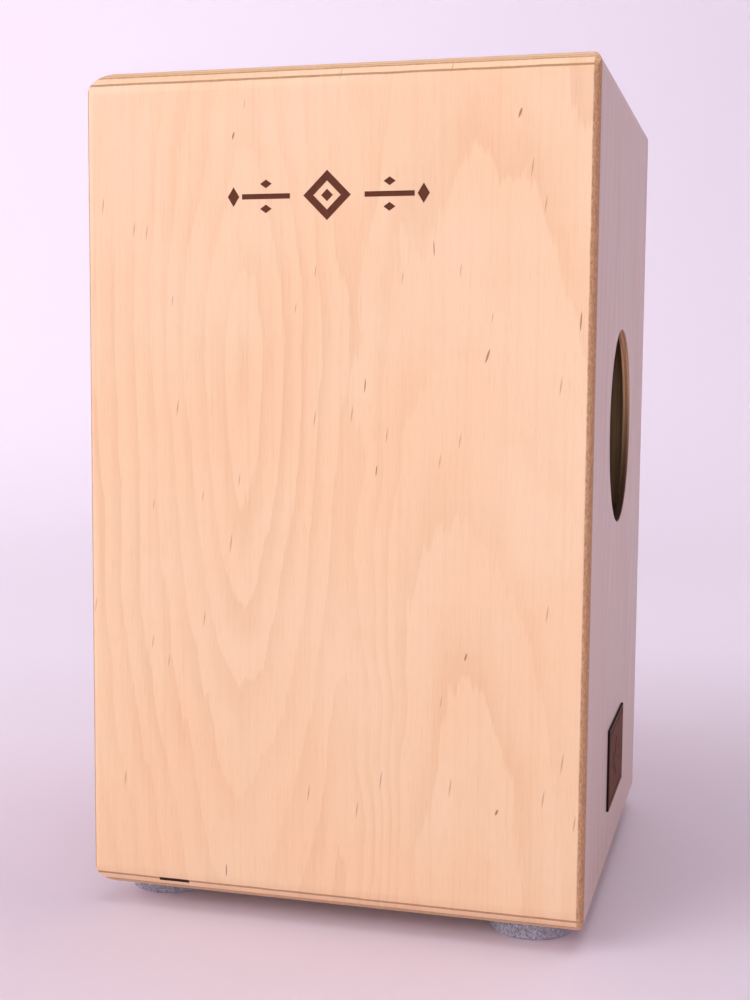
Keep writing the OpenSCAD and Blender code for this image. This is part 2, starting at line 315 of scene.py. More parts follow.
def veneer_pattern(shader, across, along, wood, hearts=PLAIN_HEARTS, contrast=1.0, drift=0.0):
    """Rotary-cut veneer. Returns its colour and its bump height."""
    s = shader
    first, second = (growth_rings(s, across, along, heart) for heart in hearts)
    seam = s.math("MULTIPLY_ADD", s.noise(s.join(0.0, s.scaled(along, 4.0), drift)), 0.08, across)
    rings = s.mix(s.step(seam, 0.035, 0.085), s.join(first, 0.0), s.join(second, 0.0))
    rings = s.split(rings)[0]
    slow = s.noise(s.join(s.scaled(across, 20.0), s.scaled(along, 6.0), drift), 1.0, 2.0)
    jagged = s.noise(s.join(s.scaled(across, 170.0), s.scaled(along, 14.0), drift), 1.0, 3.0, 0.65)
    rings = s.math("MULTIPLY_ADD", slow, 1.5, s.scaled(rings, 1.45))
    rings = s.math("MULTIPLY_ADD", jagged, 0.55, rings)
    fade = s.math("FRACT", rings)
    line = s.math("MULTIPLY", s.step(fade, 0.0, 0.07), s.step(fade, 0.05, 0.75, 1.0, 0.0))
    where = s.noise(s.join(s.scaled(across, 11.0), s.scaled(along, 5.0), drift + 3.0), 1.0, 2.0)
    line = s.math("MULTIPLY", line, s.step(where, 0.34, 0.64, 0.15, 1.0))
    streak = s.noise(s.join(s.scaled(across, 300.0), s.scaled(along, 5.0), drift), 1.0, 3.0, 0.6)
    pore = s.noise(s.join(s.scaled(across, 1900.0), s.scaled(along, 70.0), 2.0), 1.0, 2.0, 0.6)
    blotch = s.noise(s.join(s.scaled(across, 14.0), s.scaled(along, 9.0), drift + 5.0), 1.0, 4.0, 0.6)
    darkness = s.math("MULTIPLY", line, 0.50 * contrast)
    darkness = s.math("MULTIPLY_ADD", s.step(streak, 0.45, 0.75), 0.22 * contrast, darkness)
    darkness = s.math("MULTIPLY_ADD", s.step(pore, 0.50, 0.74), 0.34 * contrast, darkness, clamp=True)
    colour = s.mix(darkness, wood.veneer, wood.figure)
    warm = s.mix(s.step(blotch, 0.36, 0.64), (1.0, 0.965, 0.935), (1.0, 1.01, 1.02))
    colour = s.mix(1.0, colour, warm, "MULTIPLY")
    height = s.math("MULTIPLY_ADD", pore, 0.7, s.scaled(streak, 0.5))
    return colour, height


def pith_flecks(shader, across, along, amount):
    """Short dark dashes scattered along the grain, 0 to 1."""
    s = shader
    lean = s.math("MULTIPLY_ADD", along, -0.12, across)
    distance, random_colour = s.cells(s.join(s.scaled(lean, 95.0), s.scaled(along, 8.5)), "2D")
    chosen = s.split(random_colour)[0]
    size = s.split(random_colour)[1]
    reach = s.math("MULTIPLY_ADD", size, 0.030, 0.028)
    dash = s.math("SUBTRACT", 1.0, s.math("DIVIDE", distance, reach), clamp=True)
    picked = s.math("GREATER_THAN", chosen, 1.0 - amount)
    return s.math("MULTIPLY", s.math("POWER", dash, 0.6), picked)


def placed_fleck(shader, across, along, fleck):
    """One dark dash with its own place, length, width and lean, 0 to 1."""
    s = shader
    centre_x, centre_z, length, width, lean = fleck
    rise = s.math("SUBTRACT", along, centre_z * MM)
    side = s.math("SUBTRACT", across, centre_x * MM)
    side = s.math("MULTIPLY_ADD", rise, -lean, side)
    u = s.math("POWER", s.scaled(side, 1.4 / (width * MM)), 2.0)
    v = s.math("POWER", s.scaled(rise, 2 / (length * MM)), 2.0)
    return s.step(s.math("ADD", u, v), 0.25, 1.1, 1.0, 0.0)


# Dark dashes of the front veneer: x, z, length and width in mm, and lean.
FRONT_FLECKS = (
    (-58, 460, 5, 0.9, 0.25),
    (107, 467, 6, 1.1, 0.30),
    (91, 336, 9, 1.0, 0.30),
    (142, 355, 12, 0.7, 0.05),
    (28, 271, 7, 0.6, 0.10),
    (21, 319, 9, 0.6, 0.06),
    (81, 167, 5, 0.9, 0.25),
    (100, 79, 4, 1.2, 0.35),
    (-63, 29, 9, 0.6, 0.0),
    (60, 395, 10, 0.5, -0.05),
)


def front_veneer(wood):
    """Front panel: figured face, plies in the rolled edges, burnt ornament."""
    s = Shader("front_veneer")
    across, along = s.x, s.z
    depth = s.math("SUBTRACT", s.y, PANEL_LOW.y)
    ragged = s.noise(s.join(s.scaled(s.x, 60.0), s.scaled(s.z, 60.0), 1.0), 1.0, 3.0, 0.6)
    depth = s.math("MULTIPLY_ADD", s.math("SUBTRACT", ragged, 0.5), 0.35 * MM, depth)
    colour, height = veneer_pattern(s, across, along, wood, FRONT_HEARTS)
    flecks = s.scaled(pith_flecks(s, across, along, 0.34), 0.6)
    for fleck in FRONT_FLECKS:
        flecks = s.math("MAXIMUM", flecks, s.scaled(placed_fleck(s, across, along, fleck), 0.85))
    colour = s.mix(flecks, colour, wood.fleck)
    # Plies of the edge, by depth: a glue line, the cross-grained core, and the back ply.
    upright = s.facing("X")
    line = s.band(depth, (0.75 * MM, 0.95 * MM), (1.25 * MM, 1.5 * MM))
    core = s.band(depth, (1.2 * MM, 1.5 * MM), (3.4 * MM, 3.7 * MM))
    back = s.band(depth, (3.5 * MM, 3.8 * MM), (4.42 * MM, 4.46 * MM))
    speckle = s.noise(s.stretched(420.0, 2500.0, 420.0), 1.0, 3.0, 0.7)
    cut = s.mix(s.step(speckle, 0.3, 0.7), wood.end_grain, wood.glue_line)
    core_colour = s.mix(s.step(upright, 0.35, 0.75), colour, cut)
    colour = s.mix(core, colour, core_colour)
    colour = s.mix(s.scaled(line, 0.85), colour, s.mix(0.6, cut, wood.glue_line))
    reach = s.math("MULTIPLY_ADD", s.math("SUBTRACT", ragged, 0.5), 0.8 * MM, s.x)
    sanded = s.math("MAXIMUM", s.step(reach, *SANDED_RIGHT), s.step(reach, *SANDED_LEFT, 1.0, 0.0))
    colour = s.mix(s.scaled(sanded, 0.9), colour, cut)
    colour = s.mix(s.scaled(back, 0.9), colour, cut)
    # Painted shade: the gap in the core is painted nearly black all round, as shade inside the void.
    gap = s.near(s.x, GAP_X, GAP_HALF_WIDTH)
    gap = s.math("MULTIPLY", gap, s.math("GREATER_THAN", s.y, PANEL_LOW.y + GAP_FRONT))
    gap = s.math("MULTIPLY", gap, s.math("LESS_THAN", s.y, PANEL_LOW.y + GAP_BACK))
    gap = s.math("MULTIPLY", gap, s.math("LESS_THAN", s.z, GAP_TOP))
    colour = s.mix(gap, colour, tuple(0.12 * c for c in wood.scorch))
    # The engraving's floor and walls lie a little behind the face.
    behind = s.math("SUBTRACT", s.y, PANEL_LOW.y)
    sunk = s.band(behind, (0.02 * MM, 0.10 * MM), (0.34 * MM, 0.36 * MM))
    sunk = s.math("MULTIPLY", sunk, s.near(s.z, ORNAMENT_Z, ORNAMENT_HALF_HEIGHT))
    sunk = s.math("MULTIPLY", sunk, s.near(s.x, 0.0, ORNAMENT_HALF_WIDTH))
    smoke = s.noise(s.join(s.scaled(s.x, 700.0), 0.0, s.scaled(s.z, 160.0)), 1.0, 3.0, 0.65)
    burnt = s.mix(smoke, wood.scorch, tuple(0.42 * c for c in wood.scorch))
    colour = s.mix(sunk, colour, burnt)
    roughness = s.math("MULTIPLY_ADD", ragged, 0.08, wood.lacquer_roughness - 0.04)
    roughness = s.math("MULTIPLY_ADD", s.math("MAXIMUM", sunk, gap), 0.5, roughness)
    s.set(Base_Color=colour, Roughness=roughness, IOR=1.48)
    s.bump(height, 0.05 * MM, 0.35)
    return s.material


# Tints of the plain plywood: a cool tint on the sides, which is a painted reflection of the lavender
# surround, and a plain tone on the back, seat and bottom.
SIDE_PAINTED_REFLECTION = (0.80, 0.89, 1.26)
PLAIN_TINT = (0.97, 0.96, 1.0)
# Painted shade on the sound hole's wall: nearly black at its lower end and little at its upper end.
HOLE_SHADE_LOW = (0.07, 0.04, 0.03)
HOLE_SHADE_HIGH = (0.95, 0.86, 0.82)


def ply_veneer(name, axis, outer, thickness, plies, wood, along_axis="Z", drift=0.0, hole=None):
    """Plain plywood. axis points through the panel and outer is its outside face."""
    s = Shader(name)
    places = dict(zip("XYZ", (s.x, s.y, s.z)))
    across_axis = next(a for a in "XYZ" if a not in (axis, along_axis))
    across, along = places[across_axis], places[along_axis]
    depth = s.math("ABSOLUTE", s.math("SUBTRACT", places[axis], outer))
    colour, height = veneer_pattern(s, across, along, wood, PLAIN_HEARTS, 0.85, drift)
    colour = s.mix(s.scaled(pith_flecks(s, across, along, 0.14), 0.5), colour, wood.fleck)
    # The edge: every second ply is end grain, and glue lines run between them.
    edge = s.step(s.facing(axis), 0.80, 0.97, 1.0, 0.0)
    ragged = s.noise(s.place, 90.0, 3.0, 0.6)
    wavy = s.math("MULTIPLY_ADD", s.math("SUBTRACT", ragged, 0.5), 0.25 * MM, depth)
    layer = s.scaled(wavy, plies / thickness)
    odd = s.math("FLOOR", s.math("MODULO", layer, 2.0))
    speckle = s.noise(s.place, 900.0, 3.0, 0.7)
    cut = s.mix(s.step(speckle, 0.3, 0.7), wood.end_grain, wood.glue_line)
    pale = s.mix(0.25, wood.veneer, wood.figure)
    turned = s.math("MULTIPLY", edge, s.step(s.facing(across_axis), 0.4, 0.8, 0.0, 1.0))
    swap = s.math("ABSOLUTE", s.math("SUBTRACT", odd, s.math("SUBTRACT", 1.0, turned)))
    edge_colour = s.mix(s.scaled(swap, 0.75), pale, cut)
    glue = s.step(s.math("PINGPONG", layer, 0.5), 0.0, 0.09, 1.0, 0.0)
    edge_colour = s.mix(s.scaled(glue, 0.7), edge_colour, wood.glue_line)
    # The sides are tinted cool, a painted reflection of the pale lavender surround.
    colour = s.mix(1.0, colour, SIDE_PAINTED_REFLECTION if axis == "X" else PLAIN_TINT, "MULTIPLY")
    if hole is not None:
        middle_y, middle_z, radius = hole
        reach = s.math("SQRT", s.math("ADD", s.math("POWER", s.math("SUBTRACT", s.y, middle_y), 2.0),
                                      s.math("POWER", s.math("SUBTRACT", s.z, middle_z), 2.0)))
        # Painted shade on the sound hole's wall: darkest at its lower end, fading towards its upper end.
        rim = s.step(reach, radius, radius + 1.0 * MM, 1.0, 0.0)
        height_in_hole = s.step(s.z, middle_z - 0.9 * radius, middle_z + 0.9 * radius)
        hole_shade = s.mix(height_in_hole, HOLE_SHADE_LOW, HOLE_SHADE_HIGH)
        edge_colour = s.mix(rim, edge_colour, s.mix(1.0, edge_colour, hole_shade, "MULTIPLY"))
    colour = s.mix(edge, colour, edge_colour)
    roughness = s.math("MULTIPLY_ADD", edge, 0.2, wood.lacquer_roughness)
    s.set(Base_Color=colour, Roughness=roughness, IOR=1.48)
    s.surface.inputs["Specular IOR Level"].default_value = 0.14
    s.bump(height, 0.05 * MM, 0.35)
    return s.material


def batten_pine(wood):
    """Planed pine: straight growth rings along the batten."""
    s = Shader("batten_pine")
    wander = s.noise(s.stretched(30.0, 30.0, 3.0), 1.0, 2.0)
    ring = s.math("MULTIPLY_ADD", s.math("ADD", s.x, s.y), 190.0, s.scaled(wander, 2.6))
    late = s.step(s.math("PINGPONG", ring, 0.5), 0.30, 0.50)
    fibre = s.noise(s.stretched(1500.0, 1500.0, 40.0), 1.0, 2.0)
    dark = tuple(c * k for c, k in zip(wood.pine, (0.78, 0.62, 0.45)))
    colour = s.mix(s.scaled(late, 0.7), wood.pine, dark)
    colour = s.mix(s.step(fibre, 0.45, 0.75, 0.0, 0.25), colour, dark)
    s.set(Base_Color=colour, Roughness=s.step(fibre, 0.2, 0.8, 0.55, 0.7))
    s.bump(s.math("ADD", fibre, late), 0.06 * MM, 0.5)
    return s.material


def bar_beech(wood):
    """Sanded beech: fine ray flecks along the bar."""
    s = Shader("bar_beech")
    rays = s.noise(s.stretched(260.0, 1600.0, 1600.0), 1.0, 2.0)
    broad = s.noise(s.stretched(7.0, 160.0, 160.0), 1.0, 3.0)
    dark = tuple(c * k for c, k in zip(wood.beech, (0.70, 0.60, 0.50)))
    colour = s.mix(s.step(rays, 0.52, 0.70, 0.0, 0.7), wood.beech, dark)
    colour = s.mix(s.step(broad, 0.4, 0.7, 0.0, 0.35), colour, dark)
    s.set(Base_Color=colour, Roughness=s.step(broad, 0.2, 0.8, 0.5, 0.62))
    s.bump(rays, 0.05 * MM, 0.4)
    return s.material


# ----------------------------------------------------- metal, plastic, trim


def plated_steel(name, colour, low, high, scale):
    """Plated metal with fine rolling marks and a few duller patches."""
    s = Shader(name)
    marks = s.noise(s.stretched(scale, scale, scale * 0.06), 1.0, 3.0, 0.65)
    patch = s.noise(s.place, 160.0, 3.0, 0.6)
    tint = s.mix(s.step(patch, 0.35, 0.75), colour, tuple(0.72 * c for c in colour))
    s.set(Base_Color=tint, Metallic=1.0, Roughness=s.step(marks, 0.2, 0.8, low, high))
    s.bump(marks, 0.02 * MM, 0.4)
    return s.material


def clip_plastic(snares):
    """Black moulded plastic with a fine spark-eroded grain."""
    s = Shader("clip_plastic")
    grain = s.noise(s.place, 2600.0, 3.0, 0.6)
    rub = s.noise(s.place, 120.0, 3.0, 0.6)
    colour = s.mix(s.step(rub, 0.5, 0.8, 0.0, 0.6), snares.plastic, tuple(3.2 * c for c in snares.plastic))
    s.set(Base_Color=colour, Roughness=s.step(grain, 0.2, 0.8, 0.38, 0.55), IOR=1.5)
    s.bump(grain, 0.03 * MM, 0.6)
    return s.material


def pressed_felt(trim):
    """Speckled wool felt. The fibre attribute sets a loose fibre's own shade."""
    s = Shader("pressed_felt")
    coarse = s.noise(s.place, 640.0, 4.0, 0.7, 1.2)
    fine = s.noise(s.place, 2200.0, 3.0, 0.7, 1.5)
    wool = s.math("MULTIPLY_ADD", coarse, 0.55, s.scaled(fine, 0.45))
    shade = s.node("ShaderNodeAttribute", attribute_name="fibre").outputs["Fac"]
    wool = s.step(wool, 0.36, 0.66)
    loose = s.math("GREATER_THAN", shade, 0.01)
    pressed = s.math("MULTIPLY", wool, s.math("SUBTRACT", 1.0, loose))
    value = s.math("ADD", pressed, s.math("MULTIPLY", shade, loose))
    colour = s.mix(value, trim.felt_dark, trim.felt_light)
    s.set(Base_Color=colour, Roughness=0.95)
    s.surface.inputs["Sheen Weight"].default_value = 0.35
    s.surface.inputs["Sheen Roughness"].default_value = 0.5
    s.surface.inputs["Specular IOR Level"].default_value = 0.2
    s.bump(s.math("ADD", coarse, s.scaled(fine, 0.6)), 0.35 * MM, 0.8)
    return s.material


def plaque_leather(trim, face_x):
    """Dark leather with charred, laser-cut edges; face_x is its outer face."""
    s = Shader("plaque_leather")
    distance, _ = s.cells(s.stretched(700.0, 700.0, 700.0))
    streak = s.noise(s.stretched(60.0, 260.0, 35.0), 1.0, 3.0, 0.6)
    colour = s.mix(s.step(streak, 0.3, 0.75), trim.leather, tuple(0.55 * c for c in trim.leather))
    side = s.step(s.facing("X"), 0.55, 0.9, 1.0, 0.0)
    groove = s.step(s.math("SUBTRACT", face_x, s.x), 0.06 * MM, 0.2 * MM)
    colour = s.mix(s.math("MAXIMUM", side, s.scaled(groove, 0.8)), colour, trim.char)
    s.set(Base_Color=colour, Roughness=s.step(distance, 0.1, 0.7, 0.66, 0.82), IOR=1.4)
    s.surface.inputs["Specular IOR Level"].default_value = 0.25
    s.bump(distance, 0.06 * MM, 0.6)
    return s.material


# ---------------------------------------------------------- modelling helpers


def start_clean():
    """Leaves edit mode and selects nothing, as a new piece needs."""
    if bpy.context.object is not None and bpy.context.object.mode != "OBJECT":
        bpy.ops.object.mode_set(mode="OBJECT")
    bpy.ops.object.select_all(action="DESELECT")


def settle(name, material):
    """Names the active piece, puts its place into its mesh and gives it a material."""
    piece = bpy.context.object
    bpy.ops.object.transform_apply(location=True, rotation=True, scale=True)
    piece.name = name
    piece.data.name = name
    piece.data.materials.clear()
    piece.data.materials.append(material)
    return piece


def apply_modifier(kind, **settings):
    """Adds a modifier to the active piece and applies it."""
    made = bpy.context.object.modifiers.new(kind.title(), kind)
    for key, value in settings.items():
        setattr(made, key, value)
    bpy.ops.object.modifier_apply(modifier=made.name)


def roughen(size, strength, depth=2):
    """Pushes the active piece's surface in and out by a cloudy pattern."""
    clouds = bpy.data.textures.new("clouds", "CLOUDS")
    clouds.noise_scale = size
    clouds.noise_depth = depth
    apply_modifier("DISPLACE", texture=clouds, texture_coords="LOCAL", strength=strength, mid_level=0.5)


def merge(pieces):
    """Joins pieces into the first and returns it."""
    bpy.ops.object.select_all(action="DESELECT")
    for piece in pieces:
        piece.select_set(True)
    bpy.context.view_layer.objects.active = pieces[0]
    bpy.ops.object.join()
    return bpy.context.object


def copy_at(piece, place):
    """A copy of a piece with its own mesh, its vertices moved by a matrix."""
    twin = piece.copy()
    twin.data = piece.data.copy()
    bpy.context.collection.objects.link(twin)
    twin.data.transform(place)
    return twin


# ------------------------------------------------------------------ operators


class CAJON_OT_front(Operator):
    """Finish the playing panel: veneer, rolled plies and burnt ornament"""
    bl_idname = "cajon.front"
    bl_label = "Playing Panel"
    bl_options = {"REGISTER", "UNDO"}

    def execute(self, context):
        dress(front_veneer(context.scene.cajon_wood), "playing_panel")
        return {"FINISHED"}


class CAJON_OT_shell(Operator):
    """Finish the side, back, seat and bottom panels as lacquered plywood"""
    bl_idname = "cajon.shell"
    bl_label = "Shell Panels"
    bl_options = {"REGISTER", "UNDO"}

    def execute(self, context):
        wood = context.scene.cajon_wood
        sheets = (
            ("left_panel", "X", 0, 3, "Z", 0.7),
            ("right_panel", "X", 1, 3, "Z", 1.9),
            ("back_panel", "Y", 1, 3, "Z", 2.6),
            ("seat_board", "Z", 1, 11, "X", 3.3),
            ("bottom_board", "Z", 0, 11, "X", 4.1),
        )
        for node, axis, side, plies, along, drift in sheets:
            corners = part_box(node)
            index = "XYZ".index(axis)
            thickness = corners[1][index] - corners[0][index]
            outer = corners[side][index]
            hole = SOUND_HOLE if node == "right_panel" else None
            sheet = ply_veneer(node + "_ply", axis, outer, thickness, plies, wood, along, drift, hole)
            dress(sheet, node)
        return {"FINISHED"}


class CAJON_OT_battens(Operator):
    """Finish the four corner battens as planed pine"""
    bl_idname = "cajon.battens"
    bl_label = "Corner Battens"
    bl_options = {"REGISTER", "UNDO"}

    def execute(self, context):
        battens = [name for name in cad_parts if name.startswith("batten_")]
        dress(batten_pine(context.scene.cajon_wood), *battens)
        return {"FINISHED"}


class CAJON_OT_snare_bar(Operator):
    """Finish the snare bar, its clips, the plates and all screws"""
    bl_idname = "cajon.snare_bar"
    bl_label = "Snare Bar and Fittings"
    bl_options = {"REGISTER", "UNDO"}

    def execute(self, context):
        snares = context.scene.cajon_snares
        dress(bar_beech(context.scene.cajon_wood), "snare_bar")
        dress(clip_plastic(snares), "bar_clip_left", "bar_clip_right")
        plate_steel = plated_steel("plate_steel", snares.steel, 0.22, 0.42, 1400.0)
        dress(plate_steel, "snare_plate_left", "snare_plate_right")
        screw_zinc = plated_steel("screw_zinc", snares.zinc, 0.28, 0.5, 2400.0)
        dress(screw_zinc, "clip_screws", "plate_screws")
        return {"FINISHED"}


class CAJON_OT_snare_wires(Operator):
    """Wind the snare strands as wire coils and solder them to their plates"""
    bl_idname = "cajon.snare_wires"
    bl_label = "Snare Wires"
    bl_options = {"REGISTER", "UNDO"}

    def wind(self, snares, outer_radius, length):
        """One coil standing on the origin, wound up the z axis."""
        start_clean()
        bpy.ops.mesh.primitive_circle_add(
            vertices=5, radius=snares.wire / 2, fill_type="NOTHING",
            location=(outer_radius - snares.wire / 2, 0, snares.wire / 2), rotation=(math.pi / 2, 0, 0))
        bpy.ops.object.transform_apply(location=True, rotation=True, scale=True)
        turns = int((length - snares.wire) / snares.pitch)
        apply_modifier("SCREW", axis="Z", screw_offset=(length - snares.wire) / turns, iterations=turns,
                       steps=10, render_steps=10, use_smooth_shade=True)
        bpy.ops.object.mode_set(mode="EDIT")
        bpy.ops.mesh.select_all(action="SELECT")
        bpy.ops.mesh.remove_doubles(threshold=0.001 * MM)
        bpy.ops.mesh.fill_holes(sides=0)
        bpy.ops.mesh.normals_make_consistent(inside=False)
        bpy.ops.object.mode_set(mode="OBJECT")
        return bpy.context.object

    def solder(self, name, low, high, material):
        """A lumpy seam of solder over the strands' lower ends."""
        start_clean()
        bpy.ops.mesh.primitive_cylinder_add(
            vertices=16, radius=0.5, depth=1, location=(low + high) / 2, rotation=(0, math.pi / 2, 0))
        seam = bpy.context.object
        bpy.ops.object.transform_apply(location=False, rotation=True, scale=True)
        seam.scale = high - low
        bpy.ops.object.transform_apply(location=True, rotation=True, scale=True)
        bpy.ops.object.mode_set(mode="EDIT")
        bpy.ops.mesh.select_all(action="SELECT")
        bpy.ops.mesh.bevel(offset=0.25 * MM, segments=2)
        bpy.ops.object.mode_set(mode="OBJECT")
        apply_modifier("REMESH", mode="VOXEL", voxel_size=0.28 * MM, use_smooth_shade=True)
        roughen(2.2 * MM, 0.35 * MM)
        return settle(name, material)

    def execute(self, context):
        snares = context.scene.cajon_snares
        wire_steel = plated_steel("wire_steel", snares.steel, 0.16, 0.3, 2600.0)
        solder_tin = plated_steel("solder_tin", tuple(0.9 * c for c in snares.steel), 0.34, 0.55, 900.0)
        dice = random.Random(SEED)
        for side in ("left", "right"):
            low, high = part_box("snare_strands_" + side)
            plate_low, plate_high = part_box("snare_plate_" + side)
            radius = (high.y - low.y) / 2
            coil = self.wind(snares, radius, high.z - low.z - 0.6 * MM)
            gap = (high.x - low.x - 2 * radius) / (snares.strands - 1)
            strands = []
            for index in range(snares.strands):
                place = Matrix.Translation((low.x + radius + index * gap, low.y + radius,
                                            low.z + dice.uniform(0, 0.5) * MM))
                turn = Matrix.Rotation(dice.uniform(0, 2 * math.pi), 4, "Z")
                strands.append(copy_at(coil, place @ turn))
            bpy.data.objects.remove(coil)
            start_clean()
            merge(strands)
            strands = settle("snare_wires_" + side, wire_steel)
            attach(strands, "snare_unit")
            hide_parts("snare_strands_" + side)
            seam_low = Vector((low.x - 1.0 * MM, low.y + 0.35 * MM, low.z - 0.4 * MM))
            seam_high = Vector((high.x + 1.0 * MM, plate_low.y + 0.1 * MM, low.z + 3.2 * MM))
            seam = self.solder("solder_seam_" + side, seam_low, seam_high, solder_tin)
            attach(seam, "snare_unit")
        return {"FINISHED"}


class CAJON_OT_felt_feet(Operator):
    """Model the four felt feet with a fuzzy, fibrous surface"""
    bl_idname = "cajon.felt_feet"
    bl_label = "Felt Feet"
    bl_options = {"REGISTER", "UNDO"}

    def disc(self, low, high):
        """A felt disc with soft rims between two corners."""
        start_clean()
        bpy.ops.mesh.primitive_cylinder_add(
            vertices=96, radius=(high.x - low.x) / 2 + 0.3 * MM, depth=high.z - low.z,
            location=(low + high) / 2)
        bpy.ops.object.mode_set(mode="EDIT")
        bpy.ops.mesh.select_all(action="SELECT")
        bpy.ops.mesh.bevel(offset=0.7 * MM, segments=3, affect="EDGES")
        bpy.ops.object.mode_set(mode="OBJECT")
        bpy.ops.object.transform_apply(location=True, rotation=True, scale=True)
        apply_modifier("REMESH", mode="VOXEL", voxel_size=0.8 * MM, use_smooth_shade=True)
        roughen(3.0 * MM, 0.7 * MM)
        roughen(1.1 * MM, 0.45 * MM)
        disc = bpy.context.object
        for vertex in disc.data.vertices:
            vertex.co.z = min(max(vertex.co.z, low.z), high.z)
        return disc

    def fibre(self):
        """One short bent fibre lying along x."""
        start_clean()
        bpy.ops.mesh.primitive_cylinder_add(
            vertices=3, radius=0.045 * MM, depth=2.4 * MM, rotation=(0, math.pi / 2, 0))
        bpy.ops.object.transform_apply(location=True, rotation=True, scale=True)
        bpy.ops.object.mode_set(mode="EDIT")
        for cut in (-0.6, 0.0, 0.6):
            bpy.ops.mesh.select_all(action="SELECT")
            bpy.ops.mesh.bisect(plane_co=(cut * MM, 0, 0), plane_no=(1, 0, 0))
        bpy.ops.object.mode_set(mode="OBJECT")
        hair = bpy.context.object
        for vertex in hair.data.vertices:
            vertex.co.z += 0.30 * MM * (vertex.co.x / (1.2 * MM)) ** 2
        return hair

    def fuzz(self, hair, low, high, count, dice):
        """Loose fibres round the wall of a foot, each with its own shade."""
        centre = (low + high) / 2
        radius = (high.x - low.x) / 2 + 0.25 * MM
        points, faces, shades = [], [], []
        for _ in range(count):
            angle = dice.uniform(0, 2 * math.pi)
            height = dice.uniform(low.z + 0.6 * MM, high.z - 0.5 * MM)
            outward = Matrix.Rotation(angle, 4, "Z")
            lying = Matrix.Rotation(dice.uniform(-0.9, 0.9), 4, "X")
            stand = Matrix.Rotation(dice.gauss(0, 0.16), 4, "Z")
            tangent = Matrix.Rotation(math.pi / 2, 4, "Z")
            place = Matrix.Translation((centre.x, centre.y, height)) @ outward
            place = place @ Matrix.Translation((radius + dice.uniform(-0.1, 0.15) * MM, 0, 0))
            upright = Matrix.Rotation(math.pi / 2, 4, "X")
            swing = Matrix.Rotation(dice.uniform(-1.5, 1.5), 4, "Z")
            place = place @ tangent @ upright @ swing @ lying @ stand
            shade = 0.95 if dice.random() < 0.55 else dice.uniform(0.05, 0.5)
            base = len(points)
            for vertex in hair.data.vertices:
                point = place @ vertex.co
                point.z = min(max(point.z, low.z + 0.1 * MM), high.z)
                points.append(point)
                shades.append(shade)
            for face in hair.data.polygons:
                faces.append([base + index for index in face.vertices])
        mesh = bpy.data.meshes.new("fuzz")
        mesh.from_pydata(points, [], faces)
        mesh.attributes.new("fibre", "FLOAT", "POINT").data.foreach_set("value", shades)
        piece = bpy.data.objects.new("fuzz", mesh)
        bpy.context.collection.objects.link(piece)
        return piece

    def execute(self, context):
        trim = context.scene.cajon_trim
        felt = pressed_felt(trim)
        dice = random.Random(SEED + 1)
        hair = self.fibre()
        for corner in ("front_left", "front_right", "back_left", "back_right"):
            low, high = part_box("foot_" + corner)
            disc = self.disc(low, high)
            disc.data.attributes.new("fibre", "FLOAT", "POINT")
            foot = merge([disc, self.fuzz(hair, low, high, trim.fibres, dice)])
            foot = settle("felt_foot_" + corner, felt)
            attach(foot, "box")
            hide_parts("foot_" + corner)
        bpy.data.objects.remove(hair)
        return {"FINISHED"}


# A lozenge is let into the plaque a little, and its thickness leaves it proud of the face.
LOZENGE_SUNK = 0.05 * MM
LOZENGE_THICKNESS = 0.25 * MM


class CAJON_OT_plaque(Operator):
    """Model the side plaque with a tooled border and three raised lozenges"""
    bl_idname = "cajon.plaque"
    bl_label = "Side Plaque"
    bl_options = {"REGISTER", "UNDO"}

    def pick_face(self, piece, x):
        """Selects only the large face that lies at x."""
        bpy.ops.mesh.select_mode(type="FACE")
        bpy.ops.mesh.select_all(action="DESELECT")
        bpy.ops.object.mode_set(mode="OBJECT")
        for face in piece.data.polygons:
            face.select = abs(face.center.x - x) < 0.01 * MM and face.normal.x > 0.99
        bpy.ops.object.mode_set(mode="EDIT")

    def execute(self, context):
        low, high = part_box("side_plaque")
        middle = (low + high) / 2
        material = plaque_leather(context.scene.cajon_trim, high.x)
        start_clean()
        bpy.ops.mesh.primitive_cube_add(size=1, location=middle, scale=high - low)
        bpy.ops.object.transform_apply(location=True, rotation=True, scale=True)
        plate = bpy.context.object
        bpy.ops.object.mode_set(mode="EDIT")
        bpy.ops.mesh.select_all(action="SELECT")
        bpy.ops.mesh.bevel(offset=0.22 * MM, segments=2, affect="EDGES")
        self.pick_face(plate, high.x)
        # A plain margin, then a groove with sloping walls round the field.
        for inset, rise in ((3.0, 0), (0.25, -0.3), (0.5, 0), (0.25, 0.3)):
            bpy.ops.mesh.inset(thickness=inset * MM, depth=rise * MM)
        bpy.ops.object.mode_set(mode="OBJECT")
        shapes = [plate]
        for offset, size in ((0, 13), (-15, 6), (15, 6)):
            bpy.ops.object.select_all(action="DESELECT")
            bpy.ops.mesh.primitive_circle_add(
                vertices=4, radius=size * MM, fill_type="NGON",
                location=(high.x - LOZENGE_SUNK, middle.y + offset * MM, middle.z),
                rotation=(0, math.pi / 2, 0))
            bpy.ops.object.mode_set(mode="EDIT")
            bpy.ops.mesh.select_all(action="SELECT")
            bpy.ops.mesh.extrude_region_move(TRANSFORM_OT_translate={"value": (LOZENGE_THICKNESS, 0, 0)})
            bpy.ops.mesh.select_all(action="SELECT")
            bpy.ops.mesh.normals_make_consistent(inside=False)
            bpy.ops.object.mode_set(mode="OBJECT")
            bpy.ops.object.transform_apply(location=True, rotation=True, scale=True)
            shapes.append(bpy.context.object)
        merge(shapes)
        plaque = settle("plaque_label", material)
        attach(plaque, "box")
        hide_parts("side_plaque")
        return {"FINISHED"}


# Where the camera stands, in metres, and how far it turns to the left, looks down and leans.
CAMERA_PLACE = (0.2442, -0.9490, 0.3323)
CAMERA_TURN = math.radians(15.185)
CAMERA_DIP = math.radians(5.381)
CAMERA_ROLL = math.radians(0.4505)


